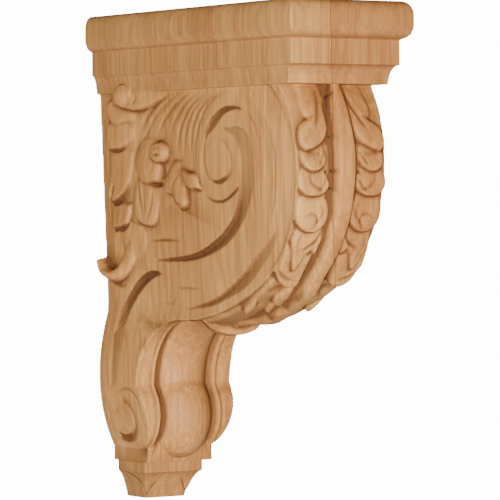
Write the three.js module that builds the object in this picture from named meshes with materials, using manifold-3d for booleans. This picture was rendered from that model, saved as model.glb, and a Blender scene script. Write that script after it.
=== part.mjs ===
import * as THREE from 'three';
import { mergeVertices } from 'three/addons/utils/BufferGeometryUtils.js';
import Module from 'manifold-3d';

// A carved wooden corbel: a moulded cap, a scroll body and a small foot, all one solid.
// Millimetres, +Z up. The back lies on the wall plane y = 0, x runs to the right and the
// front faces -Y. The origin is the centre of the back face.
// Sizes of the carving are given as front (distance out from the wall) and drop (distance
// down from the top face).

const wasm = await Module();
wasm.setup();

const HEIGHT = 330;
const HALF_HEIGHT = HEIGHT / 2;

// Cap
const FASCIA_HALF_WIDTH = 42;
const FASCIA_FRONT = 246;
const BULLNOSE_DROP = 24.4;
const BULLNOSE_SIDE = 5.5;
const BULLNOSE_FRONT = 8.5;
const FASCIA_DROP = 16.4;
const COVE_DROP = 12.3;
const COVE_SIDE = 3.5;
const COVE_FRONT = 8;
const CAP_DROP = BULLNOSE_DROP + FASCIA_DROP + COVE_DROP;

// Body seen from the front
const BODY_TOP_HALF_WIDTH = 35.7;
const WAIST_HALF_WIDTH = 30.3;
const WAIST_DROP = 195;
const BULGE_HALF_WIDTH = 37.7;
const BULGE_DROP = 246;
const BULGE_UPPER_RADIUS = 137;
const BULGE_LOWER_RADIUS = 110;

// Body seen from the side
const BELLY = { front: 154.8, drop: 104.7, radius: 85.2 };
const UNDERSIDE_RADIUS = 228;
const NECK = { front: 94, drop: 251, radius: 45 };
const SCROLL = { front: 31, drop: 271, radius: 26 };

// Foot
const FOOT_TOP_DROP = 284;
const FOOT_DROP = 304.5;
const FOOT_HALF_WIDTH = 26.2;
const FOOT_FRONT = 43.5;
const STEP_DROP = 311.9;
const STEP_HALF_WIDTH = 23;
const STEP_FRONT = 36.1;
const TOE_HALF_WIDTH = 15.8;
const TOE_FRONT = 24.4;

// Carving
const SCROLL_CUT = 4.6;
const VOLUTE_CUT = 4;
const RIB_RISE = 8.5;
const RIB_BASE = 8.5;
const RIB_CREST = 5;
const LOBES_PER_SIDE = 7;
const LEAF_RISE = 4.2;
const GROOVE_DEPTH = 5.5;
const PILLOW_RISE = 7;
const OVERLAP = 1.5;

function toBody(geometry) {
  const plain = new THREE.BufferGeometry();
  plain.setAttribute('position', geometry.getAttribute('position'));
  plain.setIndex(geometry.getIndex());
  const merged = mergeVertices(plain, 1e-4);
  return new wasm.Manifold(new wasm.Mesh({
    numProp: 3,
    vertProperties: new Float32Array(merged.getAttribute('position').array),
    triVerts: new Uint32Array(merged.getIndex().array),
  }));
}

// Stitches closed rings of equal length into one solid with flat ends.
function loft(rings) {
  const count = rings[0].length;
  const last = (rings.length - 1) * count;
  const triangles = [];
  for (let r = 0; r < rings.length - 1; r += 1) {
    for (let i = 0; i < count; i += 1) {
      const a = r * count + i;
      const b = r * count + (i + 1) % count;
      triangles.push(a, b, b + count, a, b + count, a + count);
    }
  }
  for (let i = 1; i < count - 1; i += 1) {
    triangles.push(0, i + 1, i);
    triangles.push(last, last + i, last + i + 1);
  }
  const geometry = new THREE.BufferGeometry().setFromPoints(rings.flat());
  geometry.setIndex(triangles);
  return toBody(geometry);
}

function facingOut(body) {
  return body.volume() > 0 ? body : flipped(body);
}

function flipped(body) {
  const mesh = body.getMesh();
  const turned = Uint32Array.from(mesh.triVerts);
  for (let i = 0; i < turned.length; i += 3) {
    [turned[i], turned[i + 1]] = [turned[i + 1], turned[i]];
  }
  return new wasm.Manifold(new wasm.Mesh({
    numProp: 3, vertProperties: mesh.vertProperties, triVerts: turned,
  }));
}

function at(x, front, drop) {
  return new THREE.Vector3(x, -front, HALF_HEIGHT - drop);
}

// Rectangles against the wall, one above the other.
function stack(levels) {
  const rings = levels.map(({ drop, halfWidth, front }) => [
    at(-halfWidth, 0, drop), at(halfWidth, 0, drop),
    at(halfWidth, front, drop), at(-halfWidth, front, drop),
  ]);
  return facingOut(loft(rings));
}

function cap() {
  const levels = [];
  const steps = 10;
  for (let i = 0; i <= steps; i += 1) {
    const share = -Math.cos(Math.PI * i / steps);
    const out = (1 - Math.abs(share) ** 2.6) ** (1 / 2.2);
    levels.push({
      drop: BULLNOSE_DROP * (1 + share) / 2,
      halfWidth: FASCIA_HALF_WIDTH + BULLNOSE_SIDE * out,
      front: FASCIA_FRONT + BULLNOSE_FRONT * out,
    });
  }
  const coveTop = BULLNOSE_DROP + FASCIA_DROP;
  for (let i = 0; i <= 6; i += 1) {
    const turn = Math.PI / 2 * i / 6;
    levels.push({
      drop: coveTop + COVE_DROP * (1 - Math.cos(turn)),
      halfWidth: FASCIA_HALF_WIDTH - COVE_SIDE * Math.sin(turn),
      front: FASCIA_FRONT - COVE_FRONT * Math.sin(turn),
    });
  }
  return stack(levels);
}

function foot() {
  const levels = [
    { drop: FOOT_TOP_DROP, halfWidth: FOOT_HALF_WIDTH, front: FOOT_FRONT },
    { drop: FOOT_DROP, halfWidth: FOOT_HALF_WIDTH, front: FOOT_FRONT },
    { drop: FOOT_DROP + 0.1, halfWidth: STEP_HALF_WIDTH, front: STEP_FRONT },
    { drop: STEP_DROP, halfWidth: STEP_HALF_WIDTH, front: STEP_FRONT },
  ];
  for (let i = 1; i <= 8; i += 1) {
    const turn = Math.PI / 2 * i / 8;
    const hollow = (1 - Math.cos(turn) + Math.sin(turn)) / 2;
    levels.push({
      drop: STEP_DROP + (HEIGHT - STEP_DROP) * (1 - Math.cos(turn)),
      halfWidth: STEP_HALF_WIDTH + (TOE_HALF_WIDTH - STEP_HALF_WIDTH) * hollow,
      front: STEP_FRONT + (TOE_FRONT - STEP_FRONT) * hollow,
    });
  }
  return stack(levels);
}

// Half the width of the body at a drop: a straight taper, then the bulge of the small scroll.
function halfWidthAt(drop) {
  const taper = THREE.MathUtils.mapLinear(
    Math.min(drop, WAIST_DROP), CAP_DROP, WAIST_DROP, BODY_TOP_HALF_WIDTH, WAIST_HALF_WIDTH);
  const radius = drop < BULGE_DROP ? BULGE_UPPER_RADIUS : BULGE_LOWER_RADIUS;
  const away = Math.min(Math.abs(drop - BULGE_DROP), radius * 0.9);
  const bulge = BULGE_HALF_WIDTH - radius + Math.sqrt(radius ** 2 - away ** 2);
  return drop > BULGE_DROP ? bulge : Math.max(taper, bulge);
}

function onCircle(circle, degrees) {
  const turn = THREE.MathUtils.degToRad(degrees);
  return new THREE.Vector2(
    circle.front + circle.radius * Math.cos(turn),
    circle.drop + circle.radius * Math.sin(turn));
}

// The side outline from the cap down to the wall, as (front, drop) points.
function bellyLine(steps) {
  const points = [];
  for (let i = 0; i <= steps; i += 1) {
    points.push(onCircle(BELLY, -37.5 + 99 * i / steps));
  }
  return points;
}

function undersideLine(steps) {
  const start = onCircle(BELLY, 61.5);
  const end = onCircle(NECK, -82.5);
  const sag = start.distanceTo(end) ** 2 / (8 * UNDERSIDE_RADIUS);
  const middle = start.clone().add(end).multiplyScalar(0.5);
  const across = end.clone().sub(start).normalize();
  middle.add(new THREE.Vector2(-across.y, across.x).multiplyScalar(-2 * sag));
  return new THREE.QuadraticBezierCurve(start, middle, end).getPoints(steps);
}

function neckLine(steps) {
  const points = [];
  for (let i = 0; i <= steps; i += 1) {
    points.push(onCircle(NECK, -82.5 - 97.5 * i / steps));
  }
  return points;
}

function scrollLine(steps) {
  const points = [];
  for (let i = 0; i <= steps; i += 1) {
    points.push(onCircle(SCROLL, -42 + 132 * i / steps));
  }
  return points;
}

function prism(outline, from, to, place) {
  const near = outline.map((point) => place(point, from));
  const far = outline.map((point) => place(point, to));
  const flat = THREE.ShapeUtils.triangulateShape(outline, []);
  const count = outline.length;
  const triangles = [];
  flat.forEach(([a, b, c]) => {
    triangles.push(a, b, c, c + count, b + count, a + count);
  });
  for (let i = 0; i < count; i += 1) {
    const next = (i + 1) % count;
    triangles.push(next, i, i + count, next, i + count, next + count);
  }
  const geometry = new THREE.BufferGeometry().setFromPoints([...near, ...far]);
  geometry.setIndex(triangles);
  return facingOut(toBody(geometry));
}

function sideOutline() {
  return [
    new THREE.Vector2(0, CAP_DROP - OVERLAP),
    new THREE.Vector2(BELLY.front, CAP_DROP - OVERLAP),
    ...bellyLine(16),
    ...undersideLine(6).slice(1),
    ...neckLine(10).slice(1),
    ...scrollLine(10),
    new THREE.Vector2(0, SCROLL.drop + SCROLL.radius),
  ];
}

function frontOutline() {
  const right = [];
  const bottom = SCROLL.drop + SCROLL.radius + OVERLAP;
  for (let i = 0; i <= 24; i += 1) {
    const drop = THREE.MathUtils.lerp(CAP_DROP - 2 * OVERLAP, bottom, i / 24);
    right.push(new THREE.Vector2(halfWidthAt(drop), drop));
  }
  const left = right.map((point) => new THREE.Vector2(-point.x, point.y)).reverse();
  return [...right, ...left];
}

function core() {
  const side = prism(sideOutline(), -60, 60, (point, x) => at(x, point.x, point.y));
  const front = prism(frontOutline(), -OVERLAP, 260, (point, out) => at(point.x, out, point.y));
  return side.intersect(front).intersect(wallSide());
}

// Everything in front of the wall plane.
function wallSide() {
  const box = new THREE.BoxGeometry(200, 300, 400).translate(0, -150, 0);
  return facingOut(toBody(box));
}

function along(points, steps) {
  return new THREE.SplineCurve(points.map(([front, drop]) => new THREE.Vector2(front, drop)))
    .getSpacedPoints(steps);
}

// A scroll cut: its floor is deepest at the steep inner edge and rises to the outer line.
function scrollCut(side, outer, inner, depth, steps) {
  const outerLine = along(outer, steps);
  const innerLine = along(inner, steps);
  const rings = outerLine.map((out, i) => {
    const deep = innerLine[i];
    const face = halfWidthAt(out.y);
    const floor = halfWidthAt(deep.y) - depth * Math.sin(Math.PI * (i + 0.5) / (steps + 1)) ** 0.5;
    return [
      at(side * face, out.x, out.y), at(side * floor, deep.x, deep.y),
      at(side * 50, deep.x, deep.y), at(side * 50, out.x, out.y),
    ];
  });
  return facingOut(loft(rings));
}

// The lines of the side scrolls as (front, drop), from the volute to the tail.
const SIDE_CUTS = [
  {
    outer: [[133, 84], [144, 71], [163, 65], [180, 69]],
    inner: [[134.5, 86], [147, 77], [163, 69.5], [179, 70]],
    depth: SCROLL_CUT,
  },
  {
    outer: [[156, 79], [173, 79], [187, 90], [190, 107], [185, 126], [170, 145], [140, 160.5], [100, 167]],
    inner: [[157, 80.5], [170, 86], [176, 97], [177, 110], [176, 124], [163, 141], [138, 155.5], [102, 165.5]],
    depth: SCROLL_CUT,
  },
  {
    outer: [[187, 55.5], [200, 60], [211, 68], [218, 84], [220, 110], [215, 150], [190, 176], [150, 193.5], [105, 199]],
    inner: [[186, 57], [196, 65], [205, 77], [212, 92], [216, 113], [210, 148], [189, 171], [149, 188], [106, 197.5]],
    depth: SCROLL_CUT * 0.7,
  },
  {
    outer: [[77, 174.6], [57, 176], [40, 187], [25, 202], [15, 216], [10, 232], [10, 248]],
    inner: [[74, 175.6], [58, 182], [45, 192.5], [33, 207], [30, 218], [27, 232], [24, 246]],
    depth: SCROLL_CUT * 1.2,
  },
];

// Rings of the big eye and of the small volute: a cut that winds in on itself.
function volute(side, centre, radius, from, sweep, depth) {
  const outer = [];
  const inner = [];
  for (let i = 0; i <= 8; i += 1) {
    const turn = THREE.MathUtils.degToRad(from + sweep * i / 8);
    const wide = radius * (1 + 0.12 * i / 8);
    const width = 0.32 * radius * Math.sin(Math.PI * (i + 0.6) / 9.2);
    outer.push([centre[0] + wide * Math.cos(turn), centre[1] + wide * Math.sin(turn)]);
    inner.push([centre[0] + (wide - width) * Math.cos(turn), centre[1] + (wide - width) * Math.sin(turn)]);
  }
  return scrollCut(side, outer, inner, depth, 18);
}

// A rounded swelling with three half axes, tilted in the side plane.
function swelling(x, front, drop, sizes, tilt) {
  const ball = new THREE.SphereGeometry(1, 10, 7);
  ball.scale(sizes[0], sizes[1], sizes[2]);
  ball.rotateX(THREE.MathUtils.degToRad(tilt));
  const place = at(x, front, drop);
  ball.translate(place.x, place.y, place.z);
  return facingOut(toBody(ball));
}

// Leaf lobes on the side: front, drop, half length, half height, tilt in degrees.
const SIDE_LOBES = [
  [31, 57, 19, 6.5, 8], [30, 69, 17, 5.5, 4], [27, 83, 17, 8.5, 12], [24, 106, 14, 15, 25],
  [23, 137, 13, 8.5, -8], [40, 156, 8, 15, 20], [63, 100, 13, 16, 30], [56, 122, 12, 22, 14],
  [79, 93, 9, 9, 0], [99, 116, 9, 18, -16], [114, 111, 10, 8, 0], [18, 176, 17, 5, -12],
  [84, 72, 8, 20, -38], [104, 72, 7, 20, -28], [124, 74, 7, 21, -20],
];

function sideLobes(side) {
  return SIDE_LOBES.map(([front, drop, length, height, tilt]) => {
    const sink = halfWidthAt(drop) - 1;
    return swelling(side * sink, front, drop, [LEAF_RISE, length, height], tilt);
  });
}

// A point on the front outline with the direction that faces out there.
function frames(points) {
  return points.map((point, i) => {
    const before = points[Math.max(0, i - 1)];
    const after = points[Math.min(points.length - 1, i + 1)];
    const way = after.clone().sub(before).normalize();
    return { point, out: new THREE.Vector2(way.y, -way.x) };
  });
}

// Carries a section, given as (x, rise) pairs at each step, along the front outline.
function run(points, sectionAt) {
  const rings = frames(points).map(({ point, out }, i) => sectionAt(i / (points.length - 1))
    .map(([x, rise]) => at(x, point.x + out.x * rise, point.y + out.y * rise)));
  return facingOut(loft(rings));
}

function rib() {
  const line = [...bellyLine(14), ...undersideLine(4).slice(1)];
  return run(line, (share) => {
    const widen = Math.min(1, 0.55 + 1.6 * share);
    const base = RIB_BASE * widen;
    const crest = RIB_CREST * widen;
    return [
      [-base, -6], [-base, 1], [-crest, RIB_RISE - 1.5], [-crest * 0.5, RIB_RISE],
      [crest * 0.5, RIB_RISE], [crest, RIB_RISE - 1.5], [base, 1], [base, -6],
    ];
  });
}

// Overlapping leaf lobes down the front, each tipped so that its lower end stands out.
function frontLobes(side) {
  const line = frames([...bellyLine(70), ...undersideLine(20).slice(1, 8)]);
  const lobes = [];
  for (let i = 0; i < LOBES_PER_SIDE; i += 1) {
    const share = (i + 0.75) / (LOBES_PER_SIDE + 0.4);
    const { point, out } = line[Math.round(share * (line.length - 1))];
    const lean = THREE.MathUtils.radToDeg(Math.atan2(out.y, out.x));
    lobes.push(swelling(side * 19, point.x, point.y, [11, LEAF_RISE, 15], lean + 9));
  }
  return lobes;
}

// Grooves beside the pillow that runs down the neck on to the small scroll.
function neckGroove(side) {
  const line = [...neckLine(10), ...scrollLine(8).slice(2)];
  return run(line, () => [
    [side * 17.5, 4], [side * 18.5, -GROOVE_DEPTH], [side * 22, -GROOVE_DEPTH], [side * 23.5, 4],
  ]);
}

function pillow() {
  const line = [...neckLine(10), ...scrollLine(8).slice(2, 8)];
  return run(line, (share) => {
    const rise = PILLOW_RISE * Math.min(1, 0.25 + share);
    const section = [[-17.5, -6]];
    for (let i = 0; i <= 8; i += 1) {
      const turn = Math.PI * i / 8;
      section.push([-17 * Math.cos(turn), rise * Math.sin(turn)]);
    }
    section.push([17.5, -6]);
    return section;
  });
}

// The leaf end that curls under where the belly turns into the neck.
function tongue() {
  return swelling(0, 121, 203, [21, 17, 11], 32);
}

function both(make) {
  return [make(-1), make(1)].flat();
}

function sideCuts(side) {
  const cuts = SIDE_CUTS.map(({ outer, inner, depth }) => scrollCut(side, outer, inner, depth, 20));
  cuts.push(volute(side, [149, 101], 18, -60, 210, VOLUTE_CUT));
  cuts.push(volute(side, [27, 272], 15, -40, -230, VOLUTE_CUT));
  return cuts;
}

function carve() {
  let body = core();
  both(sideCuts).forEach((cut) => { body = body.subtract(cut); });
  both(neckGroove).forEach((cut) => { body = body.subtract(cut); });
  const additions = [...both(sideLobes), ...both(frontLobes), rib(), pillow(), tongue()];
  additions.forEach((addition) => { body = body.add(addition.intersect(wallSide())); });
  return body.add(cap()).add(foot());
}

function toMesh(body, name, colour) {
  const mesh = body.getMesh();
  const geometry = new THREE.BufferGeometry();
  geometry.setAttribute('position', new THREE.BufferAttribute(mesh.vertProperties, 3));
  geometry.setIndex(new THREE.BufferAttribute(mesh.triVerts, 1));
  const result = new THREE.Mesh(geometry, new THREE.MeshStandardMaterial({ color: colour, roughness: 0.6 }));
  result.name = name;
  return result;
}

const group = new THREE.Group();
group.name = 'corbel';
group.add(toMesh(carve(), 'carved_corbel', '#c99a66'));

export default group;
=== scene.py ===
import math

import bpy
import numpy as np
from mathutils import Matrix, Vector


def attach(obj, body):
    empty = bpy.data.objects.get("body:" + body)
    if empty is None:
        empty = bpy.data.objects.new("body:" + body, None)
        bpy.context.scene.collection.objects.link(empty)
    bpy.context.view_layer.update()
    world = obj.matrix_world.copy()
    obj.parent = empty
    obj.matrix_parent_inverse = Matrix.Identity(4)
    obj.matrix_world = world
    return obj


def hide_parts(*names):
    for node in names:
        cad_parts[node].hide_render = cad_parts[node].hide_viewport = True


# The finely carved corbel over the plain solid, in wood, with the photograph's camera.
# The carving is worked out in millimetres as front (distance out from the wall), drop
# (distance down from the top face) and x, then turned into metres in the frame's axes.

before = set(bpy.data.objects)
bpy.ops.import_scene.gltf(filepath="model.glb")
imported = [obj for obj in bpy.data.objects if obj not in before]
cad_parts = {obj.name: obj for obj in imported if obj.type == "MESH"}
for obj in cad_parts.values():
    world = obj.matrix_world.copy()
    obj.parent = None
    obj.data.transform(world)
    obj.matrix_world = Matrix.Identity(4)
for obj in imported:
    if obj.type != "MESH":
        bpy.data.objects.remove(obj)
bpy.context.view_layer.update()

HEIGHT = 330.0             # mm, from the top face to the tip of the foot
CAP_DROP = 53.1            # underside of the moulded cap
CELL = 0.75    # grid that the surface is found on
FINE = 0.5                 # step of the relief maps and of the outline
SHARP_ANGLE = 50           # degrees; a steeper edge between two faces keeps a crisp shade
MOST_TRIANGLES = 190000
PER_METRE = 1000

# Circles of the outline as (front, drop, radius).
BELLY = (154.8, 104.7, 85.2)
NECK = (94.0, 251.0, 45.0)
SCROLL = (31.0, 271.0, 26.0)
UNDERSIDE_RADIUS = 228.0
LEAD_IN = (-7.0, -9.0)     # from the start of the belly up into the cap

# Half widths of the body: under the cap, at the waist, and round the swell of the neck.
BODY_HALF, WAIST_HALF, WAIST_DROP = 35.7, 30.3, 195
SWELL_HALF, SWELL_DROP, SWELL_START = 37.7, 246, 238
SWELL_ABOVE, SWELL_BELOW = 137, 110    # radii of the sides above and below the swell

# The cap: its flat face, the bullnose that stands past it and the cove that falls back.
CAP_HALF, CAP_FRONT = 42, 246
CAP_SIDES = 38.2           # past this half width a place of the cap is on its side
NOSE_DROP, NOSE_SIDE, NOSE_FRONT = 24.4, 5.5, 8.5
COVE_START, COVE_HEIGHT, COVE_SIDE, COVE_FRONT = 40.8, 12.3, 3.5, 8

# The foot: a block, a narrower step, and a hollow moulding that narrows to the tip.
FOOT_TOP, FOOT_FACES, BLOCK_DROP, CORNER_DROP = 284, 298, 304.5, 308
BLOCK_HALF, BLOCK_FRONT, STEP_HALF, STEP_FRONT = 26.2, 43.5, 23, 36.1
HOLLOW_START, HOLLOW_HEIGHT, HOLLOW_SIDE, HOLLOW_FRONT = 311.9, 18.1, 7.2, 11.7
TIP_HALF, TIP_FRONT = 15.8, 24.4

BODY_OVERLAP = 8           # how far the body runs up inside the cap
BODY_END = 304.4           # where the body ends inside the foot
CURL_OUT = 11.2            # how far the curled end of the front leaf stands out
GROOVE_DEEP = 3.6          # the groove each side of the pillow down the neck
PILLOW_HALF, PILLOW_EDGE, BAND_HALF = 18.8, 17.6, 23.0
FINISH = 0.55              # rounding left by sanding
CHUNK = 20000              # places compared with the outline at one time


# The side outline.

def arc(circle, start, end, steps):
    turn = np.radians(np.linspace(start, end, steps + 1))
    return np.stack([circle[0] + circle[2] * np.cos(turn), circle[1] + circle[2] * np.sin(turn)], 1)


def side_outline():
    belly = arc(BELLY, -37.5, 61.5, 60)
    neck = arc(NECK, -82.5, -180, 40)
    start, end = belly[-1], neck[0]
    across = (end - start) / np.linalg.norm(end - start)
    sag = np.sum((end - start) ** 2) / (8 * UNDERSIDE_RADIUS)
    middle = (start + end) / 2 - 2 * sag * np.array([-across[1], across[0]])
    t = np.linspace(0, 1, 25)[:, None]
    under = (1 - t) ** 2 * start + 2 * t * (1 - t) * middle + t ** 2 * end
    scroll = arc(SCROLL, -42, 90, 40)
    lead = belly[0] + np.array([LEAD_IN])
    return np.concatenate([lead, belly, under[1:], neck[1:], scroll[1:], [[-6.0, 297.0]]])


def resample(points, step):
    gaps = np.hypot(*np.diff(points, axis=0).T)
    run = np.r_[0, np.cumsum(gaps)]
    at = np.arange(0, run[-1], step)
    return np.stack([np.interp(at, run, points[:, 0]), np.interp(at, run, points[:, 1])], 1)


OUTLINE = resample(side_outline(), FINE)
RUN = np.arange(len(OUTLINE)) * FINE
LEAD = math.hypot(*LEAD_IN)


def run_at(front, drop):
    """Distance along the outline, from the cap down, nearest to a point."""
    return RUN[np.argmin(np.hypot(OUTLINE[:, 0] - front, OUTLINE[:, 1] - drop))] - LEAD


def outline_field(front, drop):
    """Distance out from the side outline and distance along it, at every (front, drop)."""
    way = np.gradient(OUTLINE, axis=0)
    way /= np.linalg.norm(way, axis=1)[:, None]
    out = np.stack([way[:, 1], -way[:, 0]], 1)
    shape = front.shape
    flat = np.stack([front.ravel(), drop.ravel()], 1).astype(np.float32)
    away = np.empty(len(flat), np.float32)
    along = np.empty(len(flat), np.float32)
    line = OUTLINE.astype(np.float32)
    for i in range(0, len(flat), CHUNK):
        part = flat[i:i + CHUNK]
        square = ((part[:, None, :] - line[None]) ** 2).sum(2)
        near = square.argmin(1)
        gap = part - line[near]
        side = (gap * out[near]).sum(1)
        lap = (gap * way[near]).sum(1)
        distance = np.sqrt(square[np.arange(len(part)), near])
        away[i:i + CHUNK] = np.where(np.abs(lap) < 0.6, side, np.sign(side) * distance)
        along[i:i + CHUNK] = RUN[near] + np.clip(lap, -1, 1) - LEAD
    return away.reshape(shape), along.reshape(shape)


def half_width(drop):
    """Half width of the body before its relief: it tapers, then swells out round the neck."""
    down = np.clip((drop - CAP_DROP) / (WAIST_DROP - CAP_DROP), -0.1, 1)
    taper = BODY_HALF + (WAIST_HALF - BODY_HALF) * down
    above, below = np.clip(SWELL_DROP - drop, 0, 120), np.clip(drop - SWELL_DROP, 0, 100)
    upper = SWELL_HALF - SWELL_ABOVE + np.sqrt(SWELL_ABOVE ** 2 - above ** 2)
    lower = SWELL_HALF - SWELL_BELOW + np.sqrt(SWELL_BELOW ** 2 - below ** 2)
    eased = (taper + upper + np.sqrt((taper - upper) ** 2 + 1.0)) / 2
    return np.where(drop > SWELL_DROP, lower, np.where(drop > SWELL_START, upper, eased))


# Drawing relief on a height map.

def spline(points, steps=14):
    """A smooth line through the points."""
    p = np.array(points, float)
    p = np.concatenate([[2 * p[0] - p[1]], p, [2 * p[-1] - p[-2]]])
    t = np.linspace(0, 1, steps, endpoint=False)[:, None]
    parts = []
    for a, b, c, d in zip(p[:-3], p[1:-2], p[2:-1], p[3:]):
        parts.append(0.5 * (2 * b + (c - a) * t + (2 * a - 5 * b + 4 * c - d) * t ** 2
                            + (3 * b - a - 3 * c + d) * t ** 3))
    return np.concatenate(parts + [p[-2:-1]])


def blurred(grid, sigma):
    reach = max(1, int(3 * sigma + 0.5))
    weights = np.exp(-0.5 * (np.arange(-reach, reach + 1) / sigma) ** 2)
    weights /= weights.sum()
    for axis in (0, 1):
        sides = [(reach, reach) if a == axis else (0, 0) for a in (0, 1)]
        padded = np.pad(grid, sides, mode="edge")
        grid = sum(w * np.take(padded, range(i, i + grid.shape[axis]), axis)
                   for i, w in enumerate(weights))
    return grid


class Relief:
    """Heights over a rectangle of two lengths a and b, in millimetres."""

    def __init__(self, low, high):
        self.low = low
        self.a, self.b = np.meshgrid(np.arange(low[0], high[0], FINE),
                                     np.arange(low[1], high[1], FINE), indexing="ij")
        self.h = np.zeros(self.a.shape)
        # Painted shade, from 0 upward, that darkens the wood's colour.
        self.dark = np.zeros(self.a.shape)

    def window(self, points, margin):
        low = np.min(points, 0) - margin
        high = np.max(points, 0) + margin
        i0, j0 = [max(0, int((low[k] - self.low[k]) / FINE)) for k in (0, 1)]
        i1, j1 = [int((high[k] - self.low[k]) / FINE) + 2 for k in (0, 1)]
        return slice(i0, max(i0 + 1, i1)), slice(j0, max(j0 + 1, j1))

    def distance(self, line, view):
        """Distance to a line and the share of the way along it."""
        a, b = self.a[view], self.b[view]
        best = np.full(a.shape, 1e9)
        share = np.zeros(a.shape)
        for i, (p, q) in enumerate(zip(line[:-1], line[1:])):
            way = q - p
            t = np.clip(((a - p[0]) * way[0] + (b - p[1]) * way[1]) / max(way @ way, 1e-9), 0, 1)
            gap = np.hypot(a - p[0] - t * way[0], b - p[1] - t * way[1])
            nearer = gap < best
            best = np.where(nearer, gap, best)
            share = np.where(nearer, (i + t) / (len(line) - 1), share)
        return best, share

    def inside(self, loop, view):
        a, b = self.a[view], self.b[view]
        result = np.zeros(a.shape, bool)
        for p, q in zip(loop, np.roll(loop, -1, 0)):
            if p[1] == q[1]:
                continue
            crosses = (p[1] > b) != (q[1] > b)
            result ^= crosses & (a < p[0] + (b - p[1]) * (q[0] - p[0]) / (q[1] - p[1]))
        return result

    def paint_shade(self, view, amount):
        """Paints shade: marks wood darker where shade falls in cuts, hollows and under edges."""
        self.dark[view] = np.maximum(self.dark[view], amount)

    def wedge(self, outer, inner, depth, slope=0.75, power=1.0, tone=0.0):
        """A slanted floor, deepest at the steep inner line, rising to the outer line.

        depth and tone are one number, or several spaced evenly along the line."""
        outer, inner = spline(outer), spline(inner)
        loop = np.concatenate([outer, inner[::-1]])
        view = self.window(loop, 1)
        near, share = self.distance(inner, view)
        far, _ = self.distance(outer, view)
        width = near + far + 1e-6
        depths = np.atleast_1d(depth)
        limit = np.interp(share, np.linspace(0, 1, len(depths)), depths)
        deep = np.minimum(limit, slope * width) * (far / width) ** power
        within = self.inside(loop, view)
        self.h[view] = np.where(within, self.h[view] - deep, self.h[view])
        # The tone is painted shade on the floor and its wall, darkest towards the deep inner line.
        tones = np.atleast_1d(tone)
        shade = np.interp(share, np.linspace(0, 1, len(tones)), tones)
        ends = np.clip(np.minimum(share, 1 - share) / 0.07, 0, 1)
        shade = ends * shade * (0.6 + 0.4 * far / width)
        self.paint_shade(view, np.where(within | (near < 1.0), shade, 0))

    def groove(self, points, width, depth, taper=0.5, tone=0.0):
        """A rounded cut along a line, finer towards its ends."""
        line = spline(points)
        view = self.window(line, width + 1)
        gap, share = self.distance(line, view)
        fade = np.sin(np.pi * np.clip(share, 0.02, 0.98)) ** taper
        across = np.exp(-(gap / (0.5 * width * (0.4 + 0.6 * fade))) ** 2)
        self.h[view] -= depth * fade * across
        # Painted shade in the cut, as strong as the tone.
        self.paint_shade(view, tone * fade * across)

    def ridge(self, points, width, height, taper=0.5):
        self.groove(points, width, -height, taper)

    def level(self, loop, change, soft=0.0):
        """Raises or lowers the inside of a loop."""
        loop = spline(list(loop) + [loop[0]])[:-1]
        view = self.window(loop, soft + 1)
        mask = self.inside(loop, view).astype(float)
        if soft:
            gap, _ = self.distance(np.concatenate([loop, loop[:1]]), view)
            mask = np.clip(np.where(mask > 0, 0.5 + gap / soft, 0.5 - gap / soft), 0, 1)
            mask = mask * mask * (3 - 2 * mask)
        self.h[view] += change * mask

    def lobe(self, loop, root, tip, low, high, crown=1.2, edge=1.6, rim=0.0, tone=0.5):
        """A leaf lobe: rises from low at its root to high at its tip, with a rounded edge."""
        loop = spline(list(loop) + [loop[0]])[:-1]
        root, tip = np.array(root, float), np.array(tip, float)
        view = self.window(loop, 3)
        mask = self.inside(loop, view)
        gap, _ = self.distance(np.concatenate([loop, loop[:1]]), view)
        way = tip - root
        share = np.clip(((self.a[view] - root[0]) * way[0] + (self.b[view] - root[1]) * way[1])
                        / (way @ way), 0, 1)
        rise = low + (high - low) * share
        rise = rise + crown * (np.clip(gap / edge, 0, 1) ** 0.5 - 1)
        rise = rise + rim * np.exp(-((gap - 1.2) / 0.7) ** 2) * share
        current = self.h[view]
        over = mask & (rise > current)
        self.h[view] = np.where(over, rise, current)
        # Painted shade is cleared on the lobe and painted round its edge, stronger towards the tip.
        self.dark[view] = np.where(over, 0, self.dark[view])
        self.paint_shade(view, np.where(mask, 0, tone * share * np.exp(-(gap / 1.6) ** 2)))

    def pit(self, centre, size, depth, tone=0.0):
        """A soft round hollow with painted shade by its tone; a depth of 0 paints the shade alone."""
        view = self.window(np.array([centre]), max(size) * 3)
        away = (((self.a[view] - centre[0]) / size[0]) ** 2
                + ((self.b[view] - centre[1]) / size[1]) ** 2)
        self.h[view] -= depth * np.exp(-away)
        self.paint_shade(view, tone * np.exp(-away))

    def trail(self, points, widths, heights):
        """A rounded ridge whose half width and height change evenly along the line."""
        line = spline(points)
        view = self.window(line, max(widths) + 1)
        gap, share = self.distance(line, view)
        at = np.linspace(0, 1, len(widths))
        round_top = np.sqrt(np.clip(1 - (gap / np.interp(share, at, widths)) ** 2, 0, 1))
        rise = np.interp(share, at, heights) * round_top
        raised = np.maximum(self.h[view], rise)
        self.h[view] = np.where(round_top > 0, raised, self.h[view])

    def smooth(self, sigma):
        self.h = blurred(self.h, sigma / FINE)

    def hollows(self):
        """Painted shade from 0 to 1: more the further a place lies below what is round it, and where shade
        was painted in.
        """
        wide, narrow, soften = 2.2, 0.9, 0.3           # mm
        below = np.clip((blurred(self.h, wide / FINE) - self.h) / 1.3, 0, 1)
        near = np.clip((blurred(self.h, narrow / FINE) - self.h) / 0.5, 0, 1)
        return np.maximum(0.9 * np.maximum(below, near), blurred(self.dark, soften / FINE))

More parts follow.
